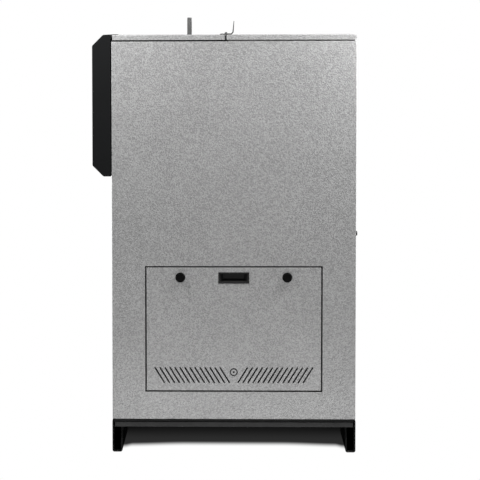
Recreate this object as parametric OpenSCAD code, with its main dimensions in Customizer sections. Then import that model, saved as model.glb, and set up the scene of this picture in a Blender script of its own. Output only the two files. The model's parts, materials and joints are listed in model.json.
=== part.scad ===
// Pellet boiler: an insulated sheet-steel casing on two skids, with a control console
// across its front, a lift-off service cover in each side and in the front, and a
// hinged lid over the pellet hopper. Millimetres. X runs front (-X) to rear (+X),
// Y from the right side (-Y) to the left side (+Y), Z up from the floor.

/* [Casing] */
// Depth of the casing, front to rear
casing_depth = 820; // [790:5:900]
// Width of the casing, side to side
casing_width = 600; // [560:5:700]
// Height of the side, front and back panels
casing_height = 1274; // [1220:1:1340]
// Thickness of the insulated panels
panel_t = 25; // [22:1:30]
// Chamfer along the outer edges of panels and covers
edge_chamfer = 1; // [0.5:0.5:3]

/* [Base] */
// Height of the skids' channel section
skid_height = 86; // [76:1:100]
// Width of a skid
skid_w = 34; // [30:1:50]
// Sheet thickness of the skids
skid_t = 5; // [4:0.5:6]
// Bevel along the upper edge of a skid's outer plate
skid_bevel = 3.5; // [2:0.5:3.5]
// How far a skid's inner wall is cut back at its ends
skid_end_cut = 25; // [20:1:26]
// Height of the lip that the cut-back leaves
skid_lip = 30; // [24:1:36]
// How far the skids stand out past the front and back panels
skid_proud = 1; // [0:0.5:4]
// How far the skids' open ends lie inside the side panels' faces
skid_inset = 2; // [0:0.5:6]
// Rounding of the skids' lower edges
skid_round = 7; // [6.5:0.5:9]
// Height of the rails between the skids and the base plate
rail_height = 16; // [14:1:24]
// Width of a rail
rail_w = 32; // [28:1:44]
// Wall thickness of the tubular rails
rail_wall = 2.5; // [2:0.5:4]
// How far a rail's ends stay clear of the skids' outer plates
rail_end_gap = 4; // [2:1:8]
// How far the rails lie inside the side panels' faces
rail_inset = 3; // [2:0.5:6]
// Thickness of the base plate that carries the casing
base_plate_t = 11; // [6:0.5:12]
// How far the base plate's side edges lie inside the side panels' faces
base_plate_inset = 10; // [6:1:14]
// Gap between the base plate's ends and the skids' outer plates
base_plate_gap = 0.5; // [0.3:0.1:0.9]

/* [Service covers] */
// Thickness of the lift-off covers
cover_t = 15; // [12:1:18]
// Gap all round a cover
cover_gap = 5; // [3:0.5:6]
// Width of the ledge that a cover lies on
ledge_w = 14; // [12:1:20]
// Width of a side cover
side_cover_w = 588; // [560:1:610]
// Height of a side cover
side_cover_h = 417; // [396:1:430]
// Height of a side cover's lower edge over the casing's lower edge
side_cover_rise = 97.5; // [80:0.5:115]
// Width of the front cover
front_cover_w = 441; // [400:1:450]
// Height of the front cover
front_cover_h = 681; // [640:1:690]
// Height of the front cover's lower edge over the casing's lower edge
front_cover_rise = 82.5; // [70:0.5:92]

/* [Grips, knobs and locks] */
// Width of a grip's rim
grip_w = 104; // [98:1:112]
// Height of a grip's rim
grip_h = 38; // [35:1:42]
// Width of the rim round a grip's recess
grip_rim = 5; // [4:0.5:6]
// How far a grip's rim laps over the cover round its cut-out
grip_lap = 2.5; // [2:0.5:3]
// Thickness of a grip's rim on the cover's face
grip_rim_t = 1.2; // [1:0.2:2]
// Depth of a grip's recess under the cover's face
grip_depth = 18; // [14:1:22]
// How much a grip's recess narrows at each end
grip_end_slope = 12; // [8:1:15]
// How much a grip's recess narrows from below
grip_foot_slope = 10; // [6:1:12]
// Wall behind and under a grip's recess
grip_wall = 2; // [1.5:0.5:3]
// Distance from a cover's upper edge down to its grip
grip_drop = 35; // [30:0.5:40]
// Diameter of a knob's head
knob_d = 30; // [26:1:34]
// Thickness of a knob's head
knob_t = 9; // [7:0.5:11]
// Diameter of a knob's neck
knob_neck_d = 16; // [12:1:20]
// Length of a knob's neck
knob_neck_l = 3; // [2:0.5:5]
// Distance between the two knobs of a side cover
knob_spacing = 360; // [320:5:400]
// Distance from a side cover's upper edge down to its knobs
knob_drop = 33.5; // [28:0.5:40]
// Bevel round a knob's head
knob_edge = 1.5; // [1:0.1:2.5]
// Distance from a cover's lower edge up to its lock
lock_rise = 62.5; // [50:0.5:66]
// Diameter of a lock's ring on the cover's face
lock_d = 26; // [25:0.5:31]
// Height of a lock's ring over the cover's face
lock_ring_t = 1.5; // [1:0.5:2.5]
// Diameter of a lock's sleeve through the cover
lock_sleeve_d = 23; // [22.5:0.5:25.5]
// Diameter of a lock's turning core
lock_core_d = 19.5; // [16:0.5:20]
// Width of the square key hole in a lock's core
key_w = 6; // [6:0.5:9]
// Depth of the key hole
key_depth = 7; // [5:0.5:10]

/* [Vents] */
// Number of vent slots in each of a side cover's two groups
vent_count = 14; // [8:1:14]
// Distance between neighbouring slots of a group
vent_pitch = 16.9; // [15:0.1:18]
// Width of a vent slot
vent_w = 5; // [4:0.5:6.5]
// Height that a slanted slot spans
vent_h = 54.5; // [44:1:56]
// Lean of the slots from upright
vent_lean = 32; // [20:0.1:36]
// Distance from a cover's middle line to the centre of its nearest slots
vent_start = 30.3; // [29:0.1:36]
// Distance from a cover's lower edge up to the slots' centres
vent_rise = 52; // [45:0.5:58]

/* [Console] */
// How far the console's front stands out from the casing
console_out = 65; // [60:1:80]
// Shadow gap between the console and the casing
console_gap = 3; // [2:0.5:5]
// How far the console's foot that fills the shadow gap lies inside its outline
console_foot_inset = 12; // [8:1:20]
// Height of the console's lower edge over the casing's lower edge
console_rise = 822; // [790:1:830]
// Height of the console
console_h = 475.5; // [450:0.5:490]
// Chamfer along the console's upper and lower front edges
console_chamfer = 37; // [25:1:45]
// Width of the display window
display_w = 160; // [120:1:200]
// Height of the display window
display_h = 100; // [80:1:120]
// Height of the display's lower edge over the console's lower edge
display_rise = 220; // [180:1:260]
// Thickness of the display's glass
display_t = 4; // [3:0.5:6]
// Width of the power switch
switch_w = 22; // [18:1:28]
// Height of the power switch
switch_h = 30; // [24:1:36]
// Height of the power switch's lower edge over the console's lower edge
switch_rise = 110; // [90:1:130]
// Depth of the power switch behind the console's face
switch_t = 9; // [7:0.5:12]
// How far the switch's pressed half lies behind the console's face
switch_tilt = 2; // [1:0.5:3]

/* [Lid, cover and hinges] */
// Thickness of the hopper lid and of the fixed top cover
lid_t = 17; // [12:1:20]
// Chamfer round the upper faces of the lid and the top cover
lid_chamfer = 1; // [0.5:0.5:2.5]
// Height of the sealed gap under the lid and the top cover
seal_h = 5; // [4:0.5:7]
// Width of the rubber seals
seal_w = 12; // [10:1:15]
// How far the seals lie inside the edges that they run along
seal_inset = 6; // [4:1:8]
// Gap between a closed lid and its seal
seal_clearance = 0.3; // [0.2:0.1:0.5]
// Gap between the console and the lid's front edge
lid_front_gap = 6; // [6:0.5:9]
// Gap between the lid and the top cover
split_gap = 7; // [6.5:0.5:9]
// Distance from the casing's front to the middle of that gap
split_x = 383; // [370:1:395]
// How far the top cover stands out past the back panel
top_cover_overhang = 0.5; // [0:0.5:5]
// Width of the crossbar under the split
crossbar_w = 30; // [27:1:36]
// Length of a hinge
hinge_len = 80; // [65:1:100]
// Distance from the casing's side to a hinge
hinge_inset = 45; // [35:1:80]
// Thickness of a hinge leaf
leaf_t = 3; // [2.5:0.1:3.2]
// Reach of a hinge leaf from the pin's axis
leaf_reach = 20; // [16:1:26]
// Height of the pin's axis over the lid's upper face
hinge_rise = 4.8; // [4.8:0.1:6]
// Outer diameter of a hinge knuckle
knuckle_d = 7.8; // [7.4:0.2:8.6]
// Gap between neighbouring knuckles
knuckle_gap = 1; // [0.8:0.1:1.5]
// Clearance between a leaf's edge and the other leaf's knuckles
leaf_clearance = 2; // [1.2:0.1:3]
// Diameter of a hinge pin
pin_d = 4.4; // [3.6:0.1:4.6]
// Thickness of the pin's flat heads
pin_head_t = 1.5; // [1:0.1:2]
// How far the heads reach past the pin's own radius
pin_head_lap = 1.2; // [1:0.1:2]
// Radial clearance round a hinge pin
pin_clearance = 0.08; // [0.05:0.01:0.1]
// Distance from the pin's axis to the lid stop's foot
stop_start = 4.5; // [4.5:0.5:6]
// Length of the lid stop's foot
stop_foot = 10; // [9:1:13]
// Bend radius of the lid stop
stop_bend = 8; // [6:0.5:10]
// Height of the lid stop over the top cover
stop_h = 47; // [44:1:56]
// Rearward lean of the lid stop's tab from upright
stop_lean = 5; // [4:0.5:8]
// Thickness of the lid stop's foot and bend
stop_t = 4; // [3:0.5:4.5]
// How far each face of the tab slopes in towards its tip, in degrees
stop_taper = 1.6; // [0:0.1:1.8]
// Width of the lid stop
stop_w = 60; // [40:1:80]
// Distance from the casing's front to the lid handle
handle_x = 257; // [230:1:280]
// Distance between the handle's two legs
handle_span = 160; // [130:1:200]
// Height of the lid handle
handle_h = 59; // [56:1:72]
// Thickness of the handle's square bar
handle_d = 13; // [12:0.5:18]
// Rounding of the bar's four edges
handle_round = 1.5; // [1:0.5:3]
// Bend radius of the handle's corners
handle_bend = 20; // [14:1:24]

/* [Hopper] */
// Width of the hopper's rim at its front and rear
hopper_rim = 20; // [16:1:28]
// Width of the hopper's rim at its sides
hopper_side_rim = 25; // [20:1:40]
// Sheet thickness of the hopper
hopper_t = 2.5; // [2:0.5:4]
// Depth of the hopper's straight part under the casing's upper edge
hopper_depth = 329; // [300:1:350]
// Depth of the funnel under the straight part
funnel_depth = 290; // [260:1:320]
// Length of the funnel's outlet, front to rear
outlet_l = 100; // [80:1:130]
// Width of the funnel's outlet
outlet_w = 120; // [90:1:160]

/* [Rear connections] */
// Height of the flue socket's axis over the casing's lower edge
flue_rise = 1038; // [980:1:1080]
// Bore of the flue socket
flue_bore = 131; // [120:1:140]
// Wall thickness of the flue socket
flue_wall = 3.5; // [3:0.5:5]
// Depth of the flue socket
flue_depth = 76; // [60:1:90]
// Width of the flange that holds the flue socket behind the back panel
flue_flange = 13; // [10:1:18]
// Distance of the two water sockets from the casing's left side
socket_y = 130; // [100:1:160]
// Height of the flow socket's axis over the casing's lower edge
flow_rise = 958; // [900:1:1000]
// Height of the return socket's axis over the casing's lower edge
return_rise = 138; // [100:1:180]
// Bore of the threaded water sockets
socket_bore = 30.3; // [24:0.1:36]
// Outer diameter of the water sockets
socket_d = 42; // [40:1:50]
// Depth of a water socket's bore
socket_depth = 30; // [26:1:36]
// How far the water sockets stand out from the back panel
socket_proud = 2; // [1:0.5:4]
// Width of the flange that holds a water socket behind the back panel
socket_flange = 9; // [6:1:12]
// Thickness of the flanges of all three sockets
flange_t = 4; // [3:0.5:6]
// Height of the cable gland over the casing's lower edge
gland_rise = 626; // [560:1:700]
// Distance of the cable gland from the casing's right side
gland_y = 55; // [55:1:160]
// Diameter of the cable gland's dome
gland_d = 16; // [13:0.5:20]
// How far the cable gland stands out from the back panel
gland_out = 7; // [5:0.5:10]
// Diameter of the gland's body through the back panel
gland_body_d = 11; // [9:0.5:12]
// Height of the gland's straight rim under its dome
gland_rim = 2; // [1:0.5:3]
// Rounding of the gland's dome
gland_round = 3.6; // [2.5:0.1:3.8]
// Thickness of the nut behind the back panel
gland_nut_t = 3; // [2:0.5:5]
// Diameter of the hole for the mains cable
gland_hole_d = 6.4; // [5:0.1:7.5]

/* [Hidden] */
$fn = 72;
// Clearance round a piece that is let into a hole or pocket of its own body
fit = 0.3;
// Overrun of a cut past the face it starts from
over = 1;
// Overlap that keeps two cuts from leaving a skin between them
skin = 0.01;

half_d = casing_depth / 2;
half_w = casing_width / 2;
socket_mid = half_w - socket_y;
gland_mid = half_w - gland_y;
rail_z = skid_height;
plate_z = rail_z + rail_height;
casing_z = plate_z + base_plate_t;
casing_top = casing_z + casing_height;
lid_z = casing_top + seal_h;
lid_top = lid_z + lid_t;
inner_w = casing_width - 2 * panel_t;

// The origin lies under the middle of the whole boiler's box
rear_proud = max(gland_out, socket_proud, top_cover_overhang, skid_proud);
shift_x = (console_out - rear_proud) / 2;

axis_x = split_x - half_d;
axis_z = lid_top + hinge_rise;
lid_front = console_gap + half_d - lid_front_gap;
knuckle_l = (hinge_len - 4 * knuckle_gap) / 5;
knuckle_pitch = knuckle_l + knuckle_gap;
knuckle_r = knuckle_d / 2;
leaf_notch = knuckle_r + leaf_clearance;
pin_head_r = pin_d / 2 + pin_head_lap;

crossbar_front = axis_x - crossbar_w / 2;
hopper_front = panel_t + hopper_rim - half_d;
hopper_rear = crossbar_front - hopper_rim;
hopper_half_w = inner_w / 2 - hopper_side_rim;
hopper_z = casing_top - hopper_depth;
funnel_z = hopper_z - funnel_depth;
hopper_mid = (hopper_front + hopper_rear) / 2;

side_cover_z = casing_z + side_cover_rise;
front_cover_z = casing_z + front_cover_rise;
console_z = casing_z + console_rise;

steel_grey = [0.56, 0.56, 0.56];
bar_grey = [0.43, 0.43, 0.43];
dark_steel = [0.34, 0.34, 0.35];
soft_black = [0.12, 0.12, 0.13];
deep_black = [0.07, 0.07, 0.075];
zinc = [0.66, 0.67, 0.69];

// ---- Frames: each wall is drawn as seen from outside, with local X along the wall,
// ---- local Y going in from its outer face and Z up from the floor

module centred() {
    translate([shift_x, 0, 0]) children();
}

module on_right() {
    centred() translate([0, -half_w, 0]) children();
}

module on_left() {
    mirror([0, 1, 0]) on_right() children();
}

module on_front() {
    centred() translate([-half_d, 0, 0]) rotate([0, 0, -90]) children();
}

module on_rear() {
    centred() translate([half_d, 0, 0]) rotate([0, 0, 90]) children();
}

// ---- Shapes used by several pieces

// Box from one corner to the opposite one
module block(low, high) {
    translate(low) cube(high - low);
}

// Profile in X and Z, drawn from y0 to y1
module along_y(y0, y1) {
    translate([0, y1, 0]) rotate([90, 0, 0]) linear_extrude(y1 - y0) children();
}

// Profile in Y and Z, drawn from x0 to x1
module along_x(x0, x1) {
    translate([x0, 0, 0]) rotate([90, 0, 90]) linear_extrude(x1 - x0) children();
}

// Upright plate in a wall's frame, chamfered round its outer face
module wall_plate(width, z0, height, thickness) {
    c = edge_chamfer;
    intersection() {
        along_x(-width / 2, width / 2) polygon([
            [0, z0 + c], [c, z0], [thickness, z0],
            [thickness, z0 + height], [c, z0 + height], [0, z0 + height - c]
        ]);
        translate([0, 0, z0]) linear_extrude(height) polygon([
            [-width / 2, c], [c - width / 2, 0], [width / 2 - c, 0],
            [width / 2, c], [width / 2, thickness], [-width / 2, thickness]
        ]);
    }
}

// Flat lid chamfered round its upper face
module flat_lid(x0, x1) {
    c = lid_chamfer;
    intersection() {
        along_x(x0, x1) polygon([
            [-half_w, lid_z], [half_w, lid_z], [half_w, lid_top - c],
            [half_w - c, lid_top], [c - half_w, lid_top], [-half_w, lid_top - c]
        ]);
        along_y(-half_w, half_w) polygon([
            [x0, lid_z], [x1, lid_z], [x1, lid_top - c],
            [x1 - c, lid_top], [x0 + c, lid_top], [x0, lid_top - c]
        ]);
    }
}

// Stepped cut-out that takes a cover and leaves the ledge behind it
module cover_cutout(width, z0, height) {
    w = width / 2 + cover_gap;
    block([-w, -over, z0 - cover_gap], [w, cover_t, z0 + height + cover_gap]);
    block(
        [ledge_w - w, 0, z0 - cover_gap + ledge_w],
        [w - ledge_w, panel_t + over, z0 + height + cover_gap - ledge_w]
    );
}

// Cut-out in a cover for a grip's body
module grip_cutout(z) {
    w = grip_w / 2 - grip_lap;
    h = grip_h / 2 - grip_lap;
    block([-w, -over, z - h], [w, cover_t + over, z + h]);
}

// Round cylinder going in along a wall's local Y
module round_in(r, y0, y1) {
    translate([0, y0, 0]) rotate([-90, 0, 0]) cylinder(r = r, h = y1 - y0);
}

// Slot with round ends, standing upright round the origin
module slot_2d(width, length) {
    straight = length - width;
    square([width, straight], center = true);
    for (end = [-1, 1])
        translate([0, end * straight / 2]) circle(d = width, $fn = 24);
}

// Points of an outline's round stretch, from angle a0 to angle a1
function arc(cx, cz, r, a0, a1) = [
    for (i = [0:6]) let (a = a0 + (a1 - a0) * i / 6) [cx + r * cos(a), cz + r * sin(a)]
];

// ---- Base

// Closed channel of bent sheet, with its outer plate carried up to the casing; X runs
// inward from the outer face
module skid_section() {
    in_r = skid_round - skid_t;
    difference() {
        polygon(concat(
            arc(skid_round, skid_round, skid_round, 180, 270),
            arc(skid_w - skid_round, skid_round, skid_round, 270, 360),
            [[skid_w, skid_height], [skid_t, skid_height],
             [skid_t, casing_z], [skid_bevel, casing_z], [0, casing_z - 2 * skid_bevel]]
        ));
        polygon(concat(
            arc(skid_round, skid_round, in_r, 180, 270),
            arc(skid_w - skid_round, skid_round, in_r, 270, 360),
            [[skid_w - skid_t, skid_height - skid_t], [skid_t, skid_height - skid_t]]
        ));
    }
}

// The inner wall and the top are cut back at both ends, sloping up from a lip
module skid() {
    end_y = half_w - skid_inset;
    translate([-half_d - skid_proud, 0, 0]) difference() {
        along_y(-end_y, end_y) skid_section();
        for (side = [0, 1])
            mirror([0, side, 0]) translate([0, -end_y, 0]) along_x(skid_t, skid_w + over)
                polygon([
                    [-over, skid_lip], [0, skid_lip], [skid_end_cut, skid_height - skid_t],
                    [skid_end_cut, skid_height + over], [-over, skid_height + over]
                ]);
    }
}

module skid_front() {
    color(soft_black) centred() skid();
}

module skid_rear() {
    color(soft_black) centred() mirror([1, 0, 0]) skid();
}

module base_rail() {
    end_x = half_d + skid_proud - skid_t - rail_end_gap;
    difference() {
        block([-end_x, rail_inset, rail_z], [end_x, rail_inset + rail_w, plate_z]);
        block(
            [-end_x - over, rail_inset + rail_wall, rail_z + rail_wall],
            [end_x + over, rail_inset + rail_w - rail_wall, plate_z - rail_wall]
        );
    }
}

module base_rail_right() {
    color(soft_black) on_right() base_rail();
}

module base_rail_left() {
    color(soft_black) on_left() base_rail();
}

module base_plate() {
    x = half_d + skid_proud - skid_t - base_plate_gap;
    y = half_w - base_plate_inset;
    color(soft_black) centred() block([-x, -y, plate_z], [x, y, casing_z]);
}

// ---- Casing panels

module side_panel() {
    difference() {
        wall_plate(casing_depth, casing_z, casing_height, panel_t);
        cover_cutout(side_cover_w, side_cover_z, side_cover_h);
    }
}

module side_panel_right() {
    color(steel_grey) on_right() side_panel();
}

module side_panel_left() {
    color(steel_grey) on_left() side_panel();
}

module front_panel() {
    color(steel_grey) on_front() difference() {
        wall_plate(inner_w, casing_z, casing_height, panel_t);
        cover_cutout(front_cover_w, front_cover_z, front_cover_h);
    }
}

module back_panel() {
    color(steel_grey) on_rear() difference() {
        wall_plate(inner_w, casing_z, casing_height, panel_t);
        translate([0, 0, casing_z + flue_rise])
            round_in(flue_bore / 2 + flue_wall + fit, -over, panel_t + over);
        for (rise = [flow_rise, return_rise])
            translate([socket_mid, 0, casing_z + rise])
                round_in(socket_d / 2 + fit, -over, panel_t + over);
        translate([-gland_mid, 0, casing_z + gland_rise])
            round_in(gland_body_d / 2 + fit, -over, panel_t + over);
    }
}

// ---- Service covers

// Slots of one group, seen from outside; side is -1 for the group left of the middle
module vent_group(side) {
    slot_l = (vent_h - vent_w) / cos(vent_lean) + vent_w;
    for (i = [0:vent_count - 1])
        translate([side * (vent_start + i * vent_pitch), side_cover_z + vent_rise])
            rotate(-side * vent_lean) slot_2d(vent_w, slot_l);
}

module access_cover() {
    difference() {
        wall_plate(side_cover_w, side_cover_z, side_cover_h, cover_t);
        grip_cutout(side_cover_z + side_cover_h - grip_drop);
        translate([0, 0, side_cover_z + lock_rise])
            round_in(lock_sleeve_d / 2 + fit, -over, cover_t + over);
        along_y(-over, cover_t + over)
            for (side = [-1, 1])
                vent_group(side);
    }
}

module access_cover_right() {
    color(steel_grey) on_right() access_cover();
}

module access_cover_left() {
    color(steel_grey) on_left() access_cover();
}

module front_cover() {
    color(steel_grey) on_front() difference() {
        wall_plate(front_cover_w, front_cover_z, front_cover_h, cover_t);
        grip_cutout(front_cover_z + front_cover_h - grip_drop);
        translate([0, 0, front_cover_z + lock_rise])
            round_in(lock_sleeve_d / 2 + fit, -over, cover_t + over);
    }
}

// ---- Knobs, grips and locks on the covers

// Pair of round knobs, screwed to a side cover's face
module cover_knobs() {
    edge = knob_edge;
    r = knob_d / 2;
    out = knob_neck_l + knob_t;
    z = side_cover_z + side_cover_h - knob_drop;
    for (side = [-1, 1])
        translate([side * knob_spacing / 2, 0, z]) rotate([90, 0, 0]) rotate_extrude()
            polygon([
                [0, 0], [knob_neck_d / 2, 0], [knob_neck_d / 2, knob_neck_l],
                [r - edge, knob_neck_l], [r, knob_neck_l + edge],
                [r, out - edge], [r - edge, out], [0, out]
            ]);
}

module cover_knobs_right() {
    color(deep_black) on_right() cover_knobs();
}

module cover_knobs_left() {
    color(deep_black) on_left() cover_knobs();
}

// Moulded finger recess: a rim on the cover's face and a cup through its cut-out,
// sloped inward from below and from both ends
module grip() {
    mouth_w = grip_w / 2 - grip_rim;
    mouth_h = grip_h / 2 - grip_rim;
    body_w = grip_w / 2 - grip_lap - fit;
    body_h = grip_h / 2 - grip_lap - fit;
    front = -grip_rim_t - over;
    lead = over / (grip_depth + grip_rim_t);
    difference() {
        union() {
            block([-grip_w / 2, -grip_rim_t, -grip_h / 2], [grip_w / 2, 0, grip_h / 2]);
            block([-body_w, -grip_rim_t, -body_h], [body_w, grip_depth + grip_wall, body_h]);
        }
        intersection() {
            along_x(-grip_w, grip_w) polygon([
                [front, -mouth_h - lead * grip_foot_slope], [grip_depth, grip_foot_slope - mouth_h],
                [grip_depth, mouth_h], [front, mouth_h]
            ]);
            translate([0, 0, -grip_h]) linear_extrude(2 * grip_h) polygon([
                [-mouth_w - lead * grip_end_slope, front], [mouth_w + lead * grip_end_slope, front],
                [mouth_w - grip_end_slope, grip_depth], [grip_end_slope - mouth_w, grip_depth]
            ]);
        }
    }
}

module side_grip() {
    translate([0, 0, side_cover_z + side_cover_h - grip_drop]) grip();
}

module grip_right() {
    color(deep_black) on_right() side_grip();
}

module grip_left() {
    color(deep_black) on_left() side_grip();
}

module grip_front() {
    color(deep_black) on_front()
        translate([0, 0, front_cover_z + front_cover_h - grip_drop]) grip();
}

// Lock: a fixed ring with a sleeve through the cover, and the core that a key turns
module lock_ring() {
    difference() {
        union() {
            round_in(lock_d / 2, -lock_ring_t, 0);
            round_in(lock_sleeve_d / 2, -lock_ring_t, cover_t);
        }
        round_in(lock_core_d / 2 + fit / 2, -lock_ring_t - over, cover_t + over);
    }
}

module lock_core() {
    face = -lock_ring_t / 2;
    difference() {
        round_in(lock_core_d / 2, face, cover_t);
        block([-key_w / 2, face - over, -key_w / 2], [key_w / 2, face + key_depth, key_w / 2]);
    }
}

module lock_ring_right() {
    color(deep_black) on_right() translate([0, 0, side_cover_z + lock_rise]) lock_ring();
}

module lock_ring_left() {
    color(deep_black) on_left() translate([0, 0, side_cover_z + lock_rise]) lock_ring();
}

module lock_ring_front() {
    color(deep_black) on_front() translate([0, 0, front_cover_z + lock_rise]) lock_ring();
}

module lock_core_right() {
    color(zinc) on_right() translate([0, 0, side_cover_z + lock_rise]) lock_core();
}

module lock_core_left() {
    color(zinc) on_left() translate([0, 0, side_cover_z + lock_rise]) lock_core();
}

module lock_core_front() {
    color(zinc) on_front() translate([0, 0, front_cover_z + lock_rise]) lock_core();
}

// ---- Console across the front, drawn with out as the distance from the casing

module console_cover() {
    c = console_chamfer;
    top = console_z + console_h;
    foot = console_foot_inset;
    foot_top = min(top - foot, casing_top - foot);
    color(deep_black) on_front() difference() {
        union() {
            along_x(-half_w, half_w) polygon([
                [-console_gap, console_z], [-console_gap, top],
                [c - console_out, top], [-console_out, top - c],
                [-console_out, console_z + c], [c - console_out, console_z]
            ]);
            block([foot - half_w, -console_gap - over, console_z + foot], [half_w - foot, 0, foot_top]);
        }
        console_pocket(display_w, display_h, display_rise, display_t);
        console_pocket(switch_w, switch_h, switch_rise, switch_t);
    }
}

// Pocket in the console's front face, a close fit round what is let into it
module console_pocket(width, height, rise, depth) {
    w = width / 2 + fit;
    z = console_z + rise;
    block([-w, -console_out - over, z - fit], [w, depth - console_out, z + height + fit]);
}

module display_window() {
    z = console_z + display_rise;
    color([0.05, 0.07, 0.09]) on_front() block(
        [-display_w / 2, -console_out, z],
        [display_w / 2, display_t - console_out, z + display_h]
    );
}

// Rocker switch, pressed in at its lower half
module power_switch() {
    z = console_z + switch_rise;
    tilt = switch_tilt;
    color(deep_black) on_front() along_x(-switch_w / 2, switch_w / 2) polygon([
        [switch_t - console_out, z], [tilt - console_out, z],
        [tilt - console_out, z + switch_h / 2], [-console_out, z + switch_h],
        [switch_t - console_out, z + switch_h]
    ]);
}

// ---- Top of the casing: crossbar, seals, fixed cover and hinged lid

module top_crossbar() {
    color(steel_grey) centred() block(
        [crossbar_front, -inner_w / 2, casing_top - panel_t],
        [crossbar_front + crossbar_w, inner_w / 2, casing_top]
    );
}

// Rubber ring on the casing's upper edges
module seal_ring(x0, x1, height) {
    y = half_w - seal_inset;
    difference() {
        block([x0, -y, casing_top], [x1, y, casing_top + height]);
        block(
            [x0 + seal_w, seal_w - y, casing_top - over],
            [x1 - seal_w, y - seal_w, casing_top + height + over]
        );
    }
}

module lid_seal() {
    color(deep_black) centred() seal_ring(
        seal_inset - half_d, axis_x - split_gap / 2 - seal_inset, seal_h - seal_clearance
    );
}

module top_cover_seal() {
    color(deep_black) centred() seal_ring(
        axis_x + split_gap / 2 + seal_inset, half_d - seal_inset, seal_h
    );
}

module top_cover() {
    color(steel_grey) centred()
        flat_lid(axis_x + split_gap / 2, half_d + top_cover_overhang);
}

module hopper_lid() {
    color(steel_grey) centred() flat_lid(-lid_front, axis_x - split_gap / 2);
}

// Leaf of a butt hinge along Y with its knuckles at the stations in own; side is -1
// for the lid's leaf and 1 for the top cover's
module hinge_leaf(side, own) {
    difference() {
        union() {
            block_either(side * leaf_notch, side * leaf_reach, 0, hinge_len);
            for (i = own) {
                y = i * knuckle_pitch;
                block_either(0, side * (leaf_notch + over), y, y + knuckle_l);
                translate([0, y + knuckle_l, 0]) rotate([90, 0, 0])
                    cylinder(r = knuckle_r, h = knuckle_l);
            }
        }
        translate([0, hinge_len + over, 0]) rotate([90, 0, 0])
            cylinder(r = pin_d / 2 + pin_clearance, h = hinge_len + 2 * over);
    }
}

// Stretch of a leaf's sheet between two distances from the pin, in either order
module block_either(xa, xb, y0, y1) {
    z0 = -hinge_rise;
    block([min(xa, xb), y0, z0], [max(xa, xb), y1, z0 + leaf_t]);
}

// Both hinges' places, with the frame on the pin's axis at the hinge's right end
module at_hinges() {
    for (y = [hinge_inset - half_w, half_w - hinge_inset - hinge_len])
        centred() translate([axis_x, y, axis_z]) children();
}

module hinge_leaves_lid() {
    color(dark_steel) at_hinges() hinge_leaf(-1, [1, 3]);
}

module hinge_leaves_cover() {
    color(dark_steel) at_hinges() hinge_leaf(1, [0, 2, 4]);
}

module hinge_pins() {
    color(dark_steel) at_hinges() translate([0, hinge_len, 0]) rotate([90, 0, 0]) {
        cylinder(d = pin_d, h = hinge_len);
        for (z = [-pin_head_t, hinge_len])
            translate([0, 0, z]) cylinder(r = pin_head_r, h = pin_head_t);
    }
}

// Bent strap that the opened lid leans towards: a foot on the top cover, a bend and
// a tab that leans rearward and grows thinner towards its tip
module lid_stop() {
    x = stop_start + stop_foot;
    z = stop_t + stop_bend;
    outer_r = stop_bend + stop_t;
    drop = stop_h - z;
    rear_lean = stop_lean - stop_taper;
    front_lean = stop_lean + stop_taper;
    rear_tip = x + outer_r / cos(rear_lean) + drop * tan(rear_lean);
    front_tip = x + stop_bend / cos(front_lean) + drop * tan(front_lean);
    color(dark_steel) centred() translate([axis_x, 0, lid_top]) along_y(-stop_w / 2, stop_w / 2)
        polygon(concat(
            [[stop_start, 0]],
            arc(x, z, outer_r, -90, -rear_lean),
            [[rear_tip, stop_h], [front_tip, stop_h]],
            arc(x, z, stop_bend, -front_lean, -90),
            [[stop_start, stop_t]]
        ));
}

// Cross-section of the handle's bar
module handle_section() {
    r = handle_round;
    flat = handle_d / 2 - r;
    polygon(concat(
        arc(flat, flat, r, 0, 90), arc(-flat, flat, r, 90, 180),
        arc(-flat, -flat, r, 180, 270), arc(flat, -flat, r, 270, 360)
    ));
}

// Bow handle across the lid: two legs, two bends and a bar
module lid_handle() {
    bar_z = handle_h - handle_d / 2;
    leg_l = bar_z - handle_bend;
    bar_y = handle_span / 2 - handle_bend;
    color(bar_grey) centred() translate([handle_x - half_d, 0, lid_top]) {
        for (side = [-1, 1]) {
            translate([0, side * handle_span / 2, 0]) linear_extrude(leg_l) handle_section();
            translate([0, side * bar_y, leg_l])
                rotate([0, 0, side * 90]) rotate([90, 0, 0]) rotate_extrude(angle = 90)
                    translate([handle_bend, 0]) handle_section();
        }
        translate([0, bar_y, bar_z]) rotate([90, 0, 0]) linear_extrude(2 * bar_y) handle_section();
    }
}

// ---- Hopper

module hopper_bin() {
    t = hopper_t;
    color(zinc) centred() difference() {
        union() {
            block(
                [panel_t - half_d, -inner_w / 2, casing_top - t],
                [crossbar_front, inner_w / 2, casing_top]
            );
            block(
                [hopper_front - t, -hopper_half_w - t, hopper_z],
                [hopper_rear + t, hopper_half_w + t, casing_top]
            );
        }
        block(
            [hopper_front, -hopper_half_w, hopper_z - over],
            [hopper_rear, hopper_half_w, casing_top + over]
        );
    }
}

// Tapered box, wide at the hopper's straight part and narrow at the outlet
module funnel_body(grow, z0, z1) {
    intersection() {
        along_y(-half_w, half_w) polygon([
            [hopper_mid - outlet_l / 2 - grow, z0], [hopper_mid + outlet_l / 2 + grow, z0],
            [hopper_rear + grow, z1], [hopper_front - grow, z1]
        ]);
        along_x(-half_d, half_d) polygon([
            [-outlet_w / 2 - grow, z0], [outlet_w / 2 + grow, z0],
            [hopper_half_w + grow, z1], [-hopper_half_w - grow, z1]
        ]);
    }
}

module hopper_funnel() {
    t = hopper_t;
    color(zinc) centred() difference() {
        funnel_body(t, funnel_z, hopper_z);
        funnel_body(0, funnel_z + t, hopper_z);
        block(
            [hopper_front, -hopper_half_w, hopper_z - skin],
            [hopper_rear, hopper_half_w, hopper_z + over]
        );
    }
}

// ---- Rear connections, drawn in the back wall's frame

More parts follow.
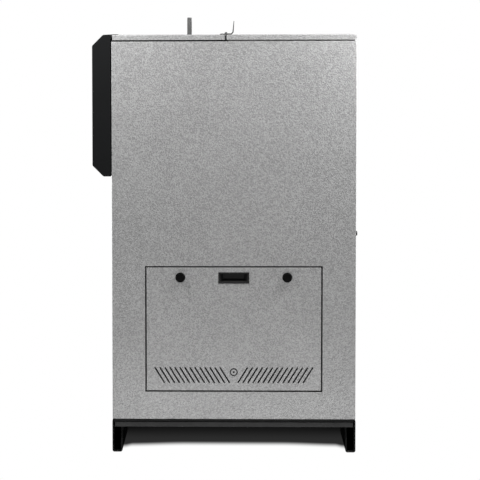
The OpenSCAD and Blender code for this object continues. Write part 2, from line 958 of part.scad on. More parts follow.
// Blind socket through the back panel, held by a flange behind it
module rear_socket(bore_r, outer_r, proud, depth, floor_t, flange) {
    difference() {
        union() {
            round_in(outer_r, -proud, depth - proud + floor_t);
            round_in(outer_r + flange, panel_t, panel_t + flange_t);
        }
        round_in(bore_r, -proud - over, depth - proud);
    }
}

module flue_socket() {
    r = flue_bore / 2;
    color(zinc) on_rear() translate([0, 0, casing_z + flue_rise])
        rear_socket(r, r + flue_wall, 0, flue_depth, flange_t, flue_flange);
}

module water_socket(rise) {
    translate([socket_mid, 0, casing_z + rise])
        rear_socket(socket_bore / 2, socket_d / 2, socket_proud, socket_depth, flange_t, socket_flange);
}

module flow_socket() {
    color(zinc) on_rear() water_socket(flow_rise);
}

module return_socket() {
    color(zinc) on_rear() water_socket(return_rise);
}

// Domed gland round the hole for the mains cable
module cable_gland() {
    r = gland_d / 2;
    dome_r = gland_round;
    color(deep_black) on_rear() translate([-gland_mid, 0, casing_z + gland_rise]) difference() {
        union() {
            rotate([90, 0, 0]) rotate_extrude() polygon(concat(
                [[0, 0], [r, 0], [r, gland_rim]],
                arc(r - dome_r, gland_out - dome_r, dome_r, 0, 90),
                [[0, gland_out]]
            ));
            round_in(gland_body_d / 2, -gland_rim, panel_t + gland_nut_t);
            round_in(r, panel_t, panel_t + gland_nut_t);
        }
        round_in(gland_hole_d / 2, -gland_out - over, panel_t + gland_nut_t + over);
    }
}

// ---- Drawing

skid_front();
skid_rear();
base_rail_right();
base_rail_left();
base_plate();
side_panel_right();
side_panel_left();
front_panel();
back_panel();
access_cover_right();
access_cover_left();
front_cover();
cover_knobs_right();
cover_knobs_left();
grip_right();
grip_left();
grip_front();
lock_ring_right();
lock_ring_left();
lock_ring_front();
lock_core_right();
lock_core_left();
lock_core_front();
console_cover();
display_window();
power_switch();
top_crossbar();
lid_seal();
top_cover_seal();
top_cover();
hopper_lid();
hinge_leaves_lid();
hinge_leaves_cover();
hinge_pins();
lid_stop();
lid_handle();
hopper_bin();
hopper_funnel();
flue_socket();
flow_socket();
return_socket();
cable_gland();
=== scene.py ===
# A pellet boiler, dressed over its plain solids: an insulated sheet-steel casing in grey
# hammer paint on two black skids, a black console across its front, lift-off service
# covers, and a hinged lid over the pellet hopper. Metres; X runs front to rear, Y from the
# right side to the left side, Z up from the floor.
import json
import math

import bmesh
import bpy
from mathutils import Matrix, Vector

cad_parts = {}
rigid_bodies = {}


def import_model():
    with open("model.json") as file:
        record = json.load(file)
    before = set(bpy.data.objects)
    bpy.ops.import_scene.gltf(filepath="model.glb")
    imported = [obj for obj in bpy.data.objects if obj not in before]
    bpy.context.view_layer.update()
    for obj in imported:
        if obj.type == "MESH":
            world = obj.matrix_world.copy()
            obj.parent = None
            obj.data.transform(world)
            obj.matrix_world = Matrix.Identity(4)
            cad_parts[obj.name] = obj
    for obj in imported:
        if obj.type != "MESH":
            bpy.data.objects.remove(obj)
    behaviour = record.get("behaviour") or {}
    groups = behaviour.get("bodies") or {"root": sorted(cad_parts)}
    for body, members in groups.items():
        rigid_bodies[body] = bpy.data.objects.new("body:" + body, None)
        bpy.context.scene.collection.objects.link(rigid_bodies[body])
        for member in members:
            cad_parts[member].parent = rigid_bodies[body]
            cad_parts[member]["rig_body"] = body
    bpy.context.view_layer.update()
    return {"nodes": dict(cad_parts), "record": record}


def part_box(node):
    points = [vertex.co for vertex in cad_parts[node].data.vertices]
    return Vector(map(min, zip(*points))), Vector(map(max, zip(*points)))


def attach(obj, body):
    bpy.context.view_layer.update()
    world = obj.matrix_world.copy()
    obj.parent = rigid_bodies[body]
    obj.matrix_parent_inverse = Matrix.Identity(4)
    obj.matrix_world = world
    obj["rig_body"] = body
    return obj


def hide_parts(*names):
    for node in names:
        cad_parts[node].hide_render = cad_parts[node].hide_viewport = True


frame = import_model()

# ---- Standpoint
# The boiler is seen square on from its right side, from far off and from the height of its
# lid, so the casing's ends hardly show. The camera is turned a little to the front and its
# frame is slid back over the boiler, so the front end looks a trace smaller.
right_low, right_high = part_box("side_panel_right")
stand_off = 8.675
eye_height = 1.431
look_down = math.radians(4.676)
look_right = math.radians(-2.455)
tilt = math.radians(0.19)
slide = 0.2446

camera = bpy.data.objects.new("standpoint", bpy.data.cameras.new("standpoint"))
camera.data.lens = 193.9
camera.data.shift_x = slide
camera.location = ((right_low.x + right_high.x) / 2, right_low.y - stand_off, eye_height)
camera.rotation_euler = (math.radians(90) - look_down, tilt, -look_right)
bpy.context.scene.collection.objects.link(camera)
bpy.context.scene.camera = camera
bpy.context.scene.view_settings.view_transform = "Standard"


# ---- Studio
# A pale floor and soft lamps. What is seen directly or in a reflection is white all round,
# but under the boiler the floor has a painted shadow: a near-black patch that holds a faint
# painted light, brighter towards the front, and that fades to white round its edges.
class Wire:
    """A socket of a node tree. Sums and products of wires add Math nodes."""

    def __init__(self, tree, socket=None):
        self.tree = tree
        self.socket = socket

    def add(self, kind, settings=None, values=None, out=0):
        """Adds any node: its settings first, then the values or links of its sockets."""
        node = self.tree.nodes.new(kind)
        for name, value in (settings or {}).items():
            if name == "stops":
                for stop, (place, shade) in zip(node.color_ramp.elements, value):
                    stop.position, stop.color = place, shade
            else:
                setattr(node, name, value)
        for name, value in (values or {}).items():
            if isinstance(value, Wire):
                self.tree.links.new(value.socket, node.inputs[name])
            else:
                node.inputs[name].default_value = value
        return Wire(self.tree, node.outputs[out] if node.outputs else None)

    def out(self, name):
        """Another output of the node that this wire comes from."""
        return Wire(self.tree, self.socket.node.outputs[name])

    def maths(self, operation, *values):
        return self.add("ShaderNodeMath", {"operation": operation}, dict(enumerate(values)))

    def vectors(self, operation, *values, out=0):
        values = dict(enumerate(values))
        return self.add("ShaderNodeVectorMath", {"operation": operation}, values, out)

    def __add__(self, other):
        return self.maths("ADD", self, other)

    def __sub__(self, other):
        return self.maths("SUBTRACT", self, other)

    def __rsub__(self, other):
        return self.maths("SUBTRACT", other, self)

    def __mul__(self, other):
        return self.maths("MULTIPLY", self, other)

    __radd__ = __add__
    __rmul__ = __mul__

    def between(self, low, high):
        """0 at low, 1 at high and an easy slope between them."""
        return self.add(
            "ShaderNodeMapRange", {"interpolation_type": "SMOOTHSTEP"},
            {"Value": self, "From Min": low, "From Max": high},
        )


def grey(level, warmth=0.0):
    return (level * (1 + warmth), level, level * (1 - warmth), 1)


def new_finish(name):
    """An empty material, and a wire to start its nodes from."""
    finish = bpy.data.materials.new(name)
    finish.use_nodes = True
    finish.node_tree.nodes.clear()
    return finish, Wire(finish.node_tree)


def seen_white(start):
    """1 for rays that the eye sees straight, mirrored or through glass."""
    path = start.add("ShaderNodeLightPath", out="Is Camera Ray")
    mirrored = path.maths("MAXIMUM", path.out("Is Glossy Ray"), path.out("Is Transmission Ray"))
    return path.maths("MAXIMUM", path, mirrored)


floor_reach = 5
floor_albedo = 0.7
# Tone, painted light and shape of the painted shadow under the boiler
painted_shadow_albedo = 0.01
far_painted_light, near_painted_light = 0.004, 0.026
near_y, far_y = -0.05, 0.27
shadow_inset = 0.235
shadow_reach = 0.12
skid_bulge = 0.03
bulge_reach = 0.22
front_fade = 14
fill_level = 0.03

low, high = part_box("skid_front")[0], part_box("skid_rear")[1]
skid_w = (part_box("skid_front")[1] - low).x
shadow_low = Vector((low.x, low.y + shadow_inset, 0))
shadow_high = Vector((high.x, high.y, 0))

floor_finish, start = new_finish("pale_floor_painted_shadow")
place = start.add("ShaderNodeTexCoord", out="Object")
away = start.vectors("SUBTRACT", place, (shadow_low + shadow_high) / 2)
away = start.vectors("ABSOLUTE", away)
along = start.add("ShaderNodeSeparateXYZ", None, {"Vector": away}, out="X")
inner = (shadow_high - shadow_low).x / 2 - skid_w
bulge = along.between(inner - bulge_reach, inner) * skid_bulge
bulge = bulge + along.between(inner - skid_bulge, inner) * skid_bulge
bulge = start.add("ShaderNodeCombineXYZ", None, {"Y": bulge})
past = start.vectors("SUBTRACT", away, (shadow_high - shadow_low) / 2)
past = start.vectors("SUBTRACT", past, bulge)
past = start.vectors("MAXIMUM", past, (0, 0, 0))
past = start.vectors("MULTIPLY", past, (front_fade, 1, 1))
past = start.vectors("LENGTH", past, out="Value").between(0, shadow_reach)
bounced = start.add("ShaderNodeBsdfDiffuse", None, {"Color": grey(floor_albedo)})
# Painted shadow: a near-black floor, plus an emission as painted light, brighter to the front
painted_shadow = start.add("ShaderNodeBsdfDiffuse", None, {"Color": grey(painted_shadow_albedo)})
far = start.add("ShaderNodeSeparateXYZ", None, {"Vector": place}, out="Y")
far = far.between(near_y, far_y)
painted_light = start.add("ShaderNodeMix", {"data_type": "RGBA"}, {
    0: far, 6: grey(near_painted_light), 7: grey(far_painted_light)
}, out=2)
painted_light = start.add("ShaderNodeEmission", None, {"Color": painted_light})
painted_shadow = start.add("ShaderNodeAddShader", None, {0: painted_shadow, 1: painted_light})
white = start.add("ShaderNodeEmission", None, {"Color": grey(1)})
seen = start.add("ShaderNodeMixShader", None, {0: past, 1: painted_shadow, 2: white})
both = start.add("ShaderNodeMixShader", None, {0: seen_white(start), 1: bounced, 2: seen})
start.add("ShaderNodeOutputMaterial", None, {"Surface": both})

floor_mesh = bpy.data.meshes.new("floor")
corners = [(x * floor_reach, y * floor_reach, 0) for x, y in ((-1, -1), (1, -1), (1, 1), (-1, 1))]
floor_mesh.from_pydata(corners, [], [(0, 1, 2, 3)])
floor_mesh.materials.append(floor_finish)
floor = bpy.data.objects.new("floor", floor_mesh)
bpy.context.scene.collection.objects.link(floor)

world = bpy.data.worlds.new("studio")
bpy.context.scene.world = world
world.use_nodes = True
world.node_tree.nodes.clear()
start = Wire(world.node_tree)
strength = seen_white(start) * (1 - fill_level) + fill_level
sky = start.add("ShaderNodeBackground", None, {"Color": grey(1), "Strength": strength})
start.add("ShaderNodeOutputWorld", None, {"Surface": sky})


def lamp(name, place, aim, width, height, watts):
    """A soft rectangular lamp that faces its aim."""
    light = bpy.data.lights.new(name, "AREA")
    light.shape = "RECTANGLE"
    light.size, light.size_y, light.energy = width, height, watts
    holder = bpy.data.objects.new(name, light)
    holder.location = place
    holder.rotation_euler = (Vector(aim) - Vector(place)).to_track_quat("-Z", "Y").to_euler()
    bpy.context.scene.collection.objects.link(holder)


lamp("roof", (0.03, -0.62, 2.0), (0.03, -0.3, 1.2), 1.3, 0.3, 4.5)
lamp("wing_left", (-0.95, -0.62, 1.85), (-0.35, -0.3, 1.2), 0.3, 0.4, 17)
lamp("wing_right", (1.01, -0.62, 1.85), (0.41, -0.3, 1.2), 0.3, 0.4, 22)
lamp("low", (0, -0.78, 0.05), (0, -0.3, 0.35), 1.2, 0.12, 1.1)
lamp("front", (-2.3, 1.5, 1.0), (-0.4, 0, 0.8), 2.4, 1.5, 46)
lamp("rear_left", (-0.9, 2.7, 1.0), (0, 0.3, 0.8), 2.4, 1.5, 18)
lamp("rear_right", (2.3, 2.0, 1.0), (0.3, 0.1, 0.8), 2.4, 1.5, 42)


# ---- Base
# Two channel skids of bent steel plate, with two square tubes laid across them and a plate
# on top, all welded up and powder-coated in satin black before the casing goes on. The
# skids, plate and tubes each get their own level of that black, which paints the light
# and shade that fall on each.
def grain(start, scale, detail=2.0, stretch=(1, 1, 1), rough=0.5):
    """Noise on the piece's own coordinates, with scale grains a metre."""
    place = start.add("ShaderNodeTexCoord", out="Object")
    place = start.add("ShaderNodeMapping", None, {"Vector": place, "Scale": stretch})
    values = {"Vector": place, "Scale": scale, "Detail": detail, "Roughness": rough}
    return start.add("ShaderNodeTexNoise", None, values)


def mix_colours(start, factor, first, second):
    values = {0: factor, 6: first, 7: second}
    return start.add("ShaderNodeMix", {"data_type": "RGBA"}, values, out=2)


def close_finish(start, values, height=None, depth=0.0):
    """Ends a material with its surface, and a bump of that depth where height is given."""
    if height is not None:
        bump = {"Height": height, "Distance": depth, "Strength": 1.0}
        values["Normal"] = start.add("ShaderNodeBump", None, bump)
    shader = start.add("ShaderNodeBsdfPrincipled", None, values)
    start.add("ShaderNodeOutputMaterial", None, {"Surface": shader})


def powder_coat(name, level):
    """A satin coat: a fine orange peel, with dust and scuffs near the floor."""
    finish, start = new_finish(name)
    peel = grain(start, 900)
    cloud = grain(start, 14)
    height = start.add("ShaderNodeSeparateXYZ", None, {
        "Vector": start.add("ShaderNodeTexCoord", out="Object")
    }, out="Z")
    low_down = 1 - height.between(0.003, 0.03)
    scuff = grain(start, 60, 4.0, (1, 3, 1)).between(0.52, 0.68) * low_down
    paint = mix_colours(start, cloud, grey(level * 0.8), grey(level * 1.2))
    colour = mix_colours(start, scuff * 0.6, paint, grey(0.08, 0.03))
    close_finish(start, {
        "Base Color": colour,
        "Roughness": 0.6 + cloud * 0.12 + scuff * 0.2,
        "Specular IOR Level": 0.0,
    }, peel, 0.00012)
    return finish


slots = {part["node"]: part["material_slot"] for part in frame["record"]["subparts"]}


def show(piece, body, slot, *nodes):
    """Makes a finished mesh part of the boiler, on its body. The slot is not used."""
    bpy.context.scene.collection.objects.link(piece)
    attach(piece, body)
    if nodes:
        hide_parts(*nodes)
    return piece


def even_normals(piece, crease=40):
    """Smooth bends between flat faces, which keep their own normals."""
    mesh = piece.data
    mesh.polygons.foreach_set("use_smooth", [True] * len(mesh.polygons))
    mesh.set_sharp_from_angle(angle=math.radians(crease))
    weights = piece.modifiers.new("even_normals", "WEIGHTED_NORMAL")
    weights.keep_sharp = True
    weights.weight = 100


def made(name, mesh, finish=None, crease=40):
    """Object for a mesh, or for a bmesh, which is used up."""
    if isinstance(mesh, bmesh.types.BMesh):
        shape, mesh = mesh, bpy.data.meshes.new(name)
        shape.to_mesh(mesh)
        shape.free()
    if finish:
        mesh.materials.append(finish)
    piece = bpy.data.objects.new(name, mesh)
    even_normals(piece, crease)
    return piece


def softened(node, finish, fine, roll=0.0, steps=2):
    """Copy of a node's solid with its edges broken: right angles by fine, chamfers by roll."""
    bm = bmesh.new()
    bm.from_mesh(frame["nodes"][node].data)
    bmesh.ops.remove_doubles(bm, verts=bm.verts, dist=1e-5)
    bmesh.ops.dissolve_limit(bm, angle_limit=math.radians(0.5), verts=bm.verts, edges=bm.edges)
    for low, high, size, count in ((35, 55, roll, steps + 1), (55, 180, fine, steps)):
        edges = [
            edge for edge in bm.edges
            if len(edge.link_faces) == 2
            and low < math.degrees(edge.calc_face_angle()) <= high
        ]
        if size and edges:
            bmesh.ops.bevel(
                bm, geom=edges, offset=size, offset_type="OFFSET", segments=count,
                profile=0.5, affect="EDGES", clamp_overlap=False,
            )
    piece = made(node + "_finished", bm, finish)
    return show(piece, frame["nodes"][node]["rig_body"], slots[node], node)


plate_edge = 0.0008
# One satin black at three levels: lit and shaded copies, painting the light and shade on each
for level, *nodes in (
    (0.016, "skid_front", "skid_rear"),
    (0.036, "base_plate"),
    (0.058, "base_rail_right", "base_rail_left"),
):
    black = powder_coat(nodes[0] + "_black", level)
    for node in nodes:
        softened(node, black, plate_edge)


# ---- Casing panels
# Insulated panels of folded sheet steel round all four sides, with rolled outer edges, in
# grey hammer paint: small round dimples with paler ridges, and soft clouds of aluminium.
# A crossbar ties the side panels together at the top. Its dark grey is painted shade, for
# where it shows in the split between the lid and the top cover.
def hammer_paint():
    finish, start = new_finish("grey_hammer_paint")
    place = start.add("ShaderNodeTexCoord", out="Object")
    drift = grain(start, 280, 1.0).out("Color")
    place = start.vectors("MULTIPLY_ADD", drift, (0.0025, 0.0025, 0.0025), place)
    dimple = start.add("ShaderNodeTexVoronoi", {"feature": "SMOOTH_F1"}, {
        "Vector": place, "Scale": 300, "Smoothness": 0.3
    })
    ridge = dimple.between(0.15, 0.6)
    flake = start.add("ShaderNodeSeparateColor", None, {"Color": dimple.out("Color")}, out="Red")
    cloud = grain(start, 300, 2.0)
    wash = grain(start, 6, 2.0)
    tone = flake.between(0.1, 0.9) * 0.3 + ridge * 0.2 + cloud * 0.36 + wash * 0.14
    colour = mix_colours(start, tone, grey(0.119, 0.008), grey(0.532))
    close_finish(start, {
        "Base Color": colour,
        "Metallic": 0.35,
        "Roughness": 0.36 + flake * 0.14,
        "Specular IOR Level": 0.4,
    }, ridge + cloud * 0.4, 0.0004)
    return finish


hammered = hammer_paint()
fold = 0.0006
cut_edge = 0.0006
for node in ("side_panel_right", "side_panel_left", "front_panel", "back_panel"):
    softened(node, hammered, cut_edge, fold)
# Dark grey as painted shade in the split
softened("top_crossbar", powder_coat("crossbar_painted_shade", 0.1), cut_edge)


# ---- Service covers
# Lift-off covers in both sides and in the front, in the same paint. The side covers have
# two groups of slanted air slots.
slot_edge = 0.0004
for node in ("access_cover_right", "access_cover_left"):
    softened(node, hammered, slot_edge, fold)
softened("front_cover", hammered, slot_edge, fold)


# ---- Cover knobs
# Two fluted knobs of black moulding hold each side cover's upper edge. Each is turned by
# hand, with a shallow dish in its head, and its short neck stands in a thin black washer.
# The washer reaches past the knob's rim, and its black is also painted shadow round the knob.
def moulding(name, level, rough, shine):
    """Black plastic with the fine spark-eroded texture of its mould."""
    finish, start = new_finish(name)
    texture = grain(start, 1400, 1.0)
    cloud = grain(start, 30)
    close_finish(start, {
        "Base Color": mix_colours(start, cloud, grey(level * 0.8), grey(level * 1.25)),
        "Roughness": rough + texture * 0.1,
        "Specular IOR Level": shine,
    }, texture, 0.00008)
    return finish


def circle(radius, height, flutes=0, bite=0.0, around=32):
    """Ring of points round Z, drawn in by bite at each flute."""
    ring = []
    for step in range(around):
        turn = 2 * math.pi * step / around
        reach = radius - bite * (0.5 + 0.5 * math.cos(flutes * turn))
        ring.append((reach * math.cos(turn), reach * math.sin(turn), height))
    return ring


def lofted(rings, joined=False):
    """Closed skin over rings of points, capped at its ends or joined end to end."""
    bm = bmesh.new()
    loops = [[bm.verts.new(point) for point in ring] for ring in rings]
    if not joined:
        for end in (loops[0], loops[-1]):
            if len(end) > 2:
                bm.faces.new(end)
    around = max(len(loop) for loop in loops)
    for lower, upper in zip(loops, loops[1:] + loops[:1] if joined else loops[1:]):
        for i in range(around):
            j = (i + 1) % around
            bm.faces.new(dict.fromkeys((
                lower[i % len(lower)], lower[j % len(lower)],
                upper[j % len(upper)], upper[i % len(upper)],
            )))
    bmesh.ops.recalc_face_normals(bm, faces=bm.faces)
    return bm


def settled(bm, place, facing):
    """Moves a shape drawn round Z to its place, with its axis along facing."""
    turn = Vector(facing).to_track_quat("Z", "Y").to_matrix().to_4x4()
    bm.transform(Matrix.Translation(place) @ turn)
    return bm


def open_tree(name, inputs):
    """A Geometry Nodes tree with named inputs, and the wire that it starts from."""
    tree = bpy.data.node_groups.new(name, "GeometryNodeTree")
    for label, kind in {"Geometry": "Geometry", **inputs}.items():
        tree.interface.new_socket(label, in_out="INPUT", socket_type="NodeSocket" + kind)
    tree.interface.new_socket("Geometry", in_out="OUTPUT", socket_type="NodeSocketGeometry")
    return Wire(tree).add("NodeGroupInput")


def close_tree(shape, finish):
    """Ends a tree with real geometry in its finish."""
    shape = shape.add("GeometryNodeRealizeInstances", None, {"Geometry": shape})
    shape = shape.add("GeometryNodeSetMaterial", None, {"Geometry": shape, "Material": finish})
    shape.add("NodeGroupOutput", None, {"Geometry": shape})
    return shape.tree


def grown(name, tree, inputs, points, lines=(), facing=None, crease=40):
    """Runs a tree on bare points or lines, and keeps the plain mesh that it makes."""
    mesh = bpy.data.meshes.new(name)
    mesh.from_pydata(points, lines, [])
    if facing:
        aims = mesh.attributes.new("facing", "FLOAT_VECTOR", "POINT")
        aims.data.foreach_set("vector", [float(number) for aim in facing for number in aim])
    holder = bpy.data.objects.new(name, mesh)
    bpy.context.scene.collection.objects.link(holder)
    nodes = holder.modifiers.new(name, "NODES")
    nodes.node_group = tree
    for socket in tree.interface.items_tree:
        if socket.in_out == "INPUT" and socket.name in inputs:
            nodes[socket.identifier] = inputs[socket.name]
    graph = bpy.context.evaluated_depsgraph_get()
    plain = bpy.data.meshes.new_from_object(holder.evaluated_get(graph))
    bpy.data.objects.remove(holder)
    return made(name, plain, crease=crease)


# Sets a copy of a piece on each point, its axis along the point's facing, at a seeded turn
start = open_tree("set_out", {
    "Piece": "Object", "Finish": "Material", "Most Turn": "Float", "Seed": "Int",
})
facing = start.add(
    "GeometryNodeInputNamedAttribute", {"data_type": "FLOAT_VECTOR"}, {"Name": "facing"}
)
upright = start.add("FunctionNodeAlignRotationToVector", {"axis": "Z"}, {"Vector": facing})
turn = start.add("FunctionNodeRandomValue", {"data_type": "FLOAT"}, {
    3: start.out("Most Turn"), 8: start.out("Seed")
}, out=1)
turn = start.add("FunctionNodeAxisAngleToRotation", None, {"Axis": (0, 0, 1), "Angle": turn})
upright = start.add("FunctionNodeRotateRotation", {"rotation_space": "LOCAL"}, {
    "Rotation": upright, "Rotate By": turn
})
piece = start.add("GeometryNodeObjectInfo", None, {"Object": start.out("Piece")}, out="Geometry")
copies = start.add("GeometryNodeInstanceOnPoints", None, {
    "Points": start, "Instance": piece, "Rotation": upright
})
set_out = close_tree(copies, start.out("Finish"))

knob_black = moulding("knob_black", 0.0025, 0.45, 0.05)
knob_radius = 0.015
knob_reach = 0.012
flutes, flute_depth, points_round = 20, 0.0011, 140
knob = made("knob", lofted([
    circle(0.008, 0, around=points_round),
    circle(0.008, 0.003, around=points_round),
    circle(0.0132, 0.003, around=points_round),
    circle(knob_radius - 0.0008, 0.0034, flutes, flute_depth * 0.7, points_round),
    circle(knob_radius, 0.0045, flutes, flute_depth, points_round),
    circle(knob_radius, 0.0098, flutes, flute_depth, points_round),
    circle(knob_radius - 0.0009, 0.0114, flutes, flute_depth * 0.6, points_round),
    circle(0.0131, knob_reach, around=points_round),
    circle(0.0118, knob_reach, around=points_round),
    circle(0.0108, 0.0112, around=points_round),
    circle(0.005, 0.0108, around=points_round),
    [(0, 0, 0.0108)],
]))
# Wider than the knob, so that the washer's black ring is also painted shadow on the cover
washer_bore, washer_radius = 0.0083, 0.0168
washer_foot, washer_top = 0.0001, 0.0012
washer = [circle(radius, height) for radius, height in (
    (washer_bore, washer_foot), (washer_bore, washer_top),
    (washer_radius, washer_top), (washer_radius, washer_foot),
)]
for side, outward in (("right", -1), ("left", 1)):
    low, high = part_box("cover_knobs_" + side)
    face = high.y if outward < 0 else low.y
    height = (low.z + high.z) / 2
    facing = (0, outward, 0)
    places = [(x, face, height) for x in (low.x + knob_radius, high.x - knob_radius)]
    knobs = grown("fluted_knobs_" + side, set_out, {
        "Piece": knob, "Finish": knob_black, "Most Turn": 0.3, "Seed": 4
    }, places, facing=[facing] * 2)
    show(knobs, "casing", "trim", "cover_knobs_" + side)
    for place, end in zip(places, ("front", "rear")):
        ring = settled(lofted(washer, joined=True), place, facing)
        ring = made("knob_washer_" + side + "_" + end, ring, knob_black)
        show(ring, "casing", "trim")


# ---- Grips and locks
# A moulded finger recess is let into the upper part of each cover, and a quarter-turn lock
# holds its foot: a black ring with a die-cast core, whose square key hole has a black bush.
def plated(name, level, rough, stretch=(1, 1, 1), warmth=0.0, wear=0.3):
    """Plated or bare metal: dull clouds, and fine lines across the axis stretched most."""
    finish, start = new_finish(name)
    lines = grain(start, 260, 3.0, stretch)
    cloud = grain(start, 34, 3.0)
    dark, pale = grey(level * (1 - wear), warmth), grey(level * (1 + wear), warmth)
    close_finish(start, {
        "Base Color": mix_colours(start, lines * 0.45 + cloud * 0.55, dark, pale),
        "Metallic": 0.9,
        "Roughness": rough + cloud * 0.2,
    }, lines, 0.00006)
    return finish


def rectangle(half_w, half_h, height, corner=0.0, steps=4):
    """Ring of points round Z with round corners."""
    quarters = ((1, 1), (-1, 1), (-1, -1), (1, -1))
    if not corner:
        return [(x * half_w, y * half_h, height) for x, y in quarters]
    ring = []
    for quarter, (x, y) in enumerate(quarters):
        for step in range(steps + 1):
            turn = math.pi / 2 * (quarter + step / steps)
            ring.append((
                x * (half_w - corner) + corner * math.cos(turn),
                y * (half_h - corner) + corner * math.sin(turn), height,
            ))
    return ring


grip_black = moulding("grip_black", 0.008, 0.5, 0.2)
ring_black = moulding("lock_ring_black", 0.003, 0.45, 0.05)
cast_zinc = plated("cast_zinc", 0.31, 0.42)
for side in ("right", "left", "front"):
    softened("grip_" + side, grip_black, 0.0007)
    softened("lock_ring_" + side, ring_black, 0.0004)
    softened("lock_core_" + side, cast_zinc, 0.0004)

bush_outer, bush_inner = 0.00298, 0.0028
bush_depth, bush_floor, bush_sunk = 0.0068, 0.0066, 0.0001
for side, facing in (("right", (0, -1, 0)), ("left", (0, 1, 0)), ("front", (-1, 0, 0))):
    low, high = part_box("lock_core_" + side)
    size = high - low
    bush = lofted([
        [(0, 0, -bush_floor)],
        rectangle(bush_inner, bush_inner, -bush_floor),
        rectangle(bush_inner, bush_inner, -bush_sunk),
        rectangle(bush_outer, bush_outer, -bush_sunk),
        rectangle(bush_outer, bush_outer, -bush_depth),
        [(0, 0, -bush_depth)],
    ])
    place = (low + high) / 2 + Vector(facing) * min(size) / 2
    show(made("key_bush_" + side, settled(bush, place, facing), ring_black), "casing", "trim")


# ---- Console
# A folded sheet-steel cover runs across the front over the controls, powder-coated black
# with a sandy texture. It hangs off the casing with a narrow shadow gap behind it.
def textured_black():
    finish, start = new_finish("textured_black_powder")
    sand = grain(start, 1100, 2.0)
    cloud = grain(start, 9, 2.0)
    close_finish(start, {
        "Base Color": mix_colours(start, cloud, grey(0.0055, -0.05), grey(0.0085, -0.05)),
        "Roughness": 0.5 + sand * 0.12,
        "Specular IOR Level": 0.08,
    }, sand, 0.0001)
    return finish


softened("console_cover", textured_black(), 0.0012, 0.0035, 3)


# ---- Display
# An unlit display under dark glass, set back in a glossy black bezel that lies flush with
# the console's face.
def front_place(node):
    """Middle of a console piece's face, half its width and height, and its depth."""
    low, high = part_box(node)
    middle = (low.x, (low.y + high.y) / 2, (low.z + high.z) / 2)
    return middle, (high.y - low.y) / 2, (high.z - low.z) / 2, high.x - low.x


def screen_glass(middle, half_w, half_h):
    """Dark glass, faintly paler and bluer over the panel behind it."""
    finish, start = new_finish("screen_glass")
    place = start.add("ShaderNodeTexCoord", out="Object")
    away = start.vectors("ABSOLUTE", start.vectors("SUBTRACT", place, middle))
    away = start.add("ShaderNodeSeparateXYZ", None, {"Vector": away}, out="Y")
    panel = (1 - away.between(half_w - 0.0005, half_w)) * (
        1 - away.out("Z").between(half_h - 0.0005, half_h)
    )
    dust = grain(start, 240, 4.0).between(0.55, 0.8)
    close_finish(start, {
        "Base Color": mix_colours(start, panel, grey(0.004), (0.011, 0.016, 0.02, 1)),
        "Roughness": 0.08 + dust * 0.12,
        "Specular IOR Level": 0.35,
    })
    return finish


bezel_w = 0.009
bezel_edge = 0.0007
outer_round, inner_round = 0.001, 0.003
glass_back = 0.0014
glass_lap = 0.0004
panel_inset = 0.006
middle, half_w, half_h, depth = front_place("display_window")
inner_w, inner_h = half_w - bezel_w, half_h - bezel_w
bezel = lofted([
    rectangle(half_w, half_h, -depth, outer_round),
    rectangle(half_w, half_h, -bezel_edge, outer_round),
    rectangle(half_w - bezel_edge, half_h - bezel_edge, 0, outer_round),
    rectangle(inner_w + bezel_edge, inner_h + bezel_edge, 0, inner_round),
    rectangle(inner_w, inner_h, -glass_back, inner_round),
    rectangle(inner_w, inner_h, -depth, inner_round),
], joined=True)
bezel_black = moulding("bezel_black", 0.006, 0.3, 0.25)
bezel = made("display_bezel", settled(bezel, middle, (-1, 0, 0)), bezel_black)
show(bezel, "casing", "console")
glass = lofted([
    rectangle(inner_w + glass_lap, inner_h + glass_lap, height, inner_round)
    for height in (-depth, -glass_back)
])
glass = made(
    "display_glass", settled(glass, middle, (-1, 0, 0)),
    screen_glass(middle, inner_w - panel_inset, inner_h - panel_inset),
)
show(glass, "casing", "glass", "display_window")


# ---- Power switch
# A rocker in its own frame, pressed in at the foot. A bar at its head and a ring at its
# foot are printed in pale ink.
frame_w = 0.0016
frame_edge = 0.0005
rocker_gap = 0.0003
rocker_top, rocker_foot, rocker_dip = -0.0004, -0.0038, 0.0012
rocker_edge = 0.0006
rocker_steps = 16
ink_rise, bar_sunk, hoop_sunk = 0.00012, -0.0004, -0.0006
bar_half_w, bar_half_h = 0.0005, 0.0027
hoop_outer, hoop_inner = 0.0027, 0.0019
mark_up = 0.55
slope_step = 0.01

middle, half_w, half_h, depth = front_place("power_switch")
inner_w, inner_h = half_w - frame_w, half_h - frame_w
surround = lofted([
    rectangle(half_w, half_h, -depth),
    rectangle(half_w, half_h, -frame_edge),
    rectangle(half_w - frame_edge, half_h - frame_edge, 0),
    rectangle(inner_w + frame_edge, inner_h + frame_edge, 0),
    rectangle(inner_w, inner_h, -frame_edge),
    rectangle(inner_w, inner_h, -depth),
], joined=True)
switch_black = moulding("switch_black", 0.007, 0.3, 0.35)
surround = made("switch_surround", settled(surround, middle, (-1, 0, 0)), switch_black)
show(surround, "casing", "trim")


def rocker_out(up):
    """How far out the rocker's face lies, with up from -1 at its foot to 1 at its head."""
    lean = (rocker_top + rocker_foot) / 2 + (rocker_top - rocker_foot) / 2 * up
    return lean - rocker_dip * (1 - up * up)


reach_w, reach_h = inner_w - rocker_gap, inner_h - rocker_gap
sections = []
for step in range(rocker_steps + 1):
    up = 2 * step / rocker_steps - 1
    out = rocker_out(up)
    sections.append([(x, up * reach_h, z) for x, z in (
        (-reach_w, -depth), (reach_w, -depth),
        (reach_w, out - rocker_edge), (reach_w - rocker_edge, out),
        (rocker_edge - reach_w, out), (-reach_w, out - rocker_edge),
    )])
rocker = made(
    "switch_rocker", settled(lofted(sections), middle, (-1, 0, 0)), switch_black, crease=30
)
show(rocker, "casing", "trim", "power_switch")

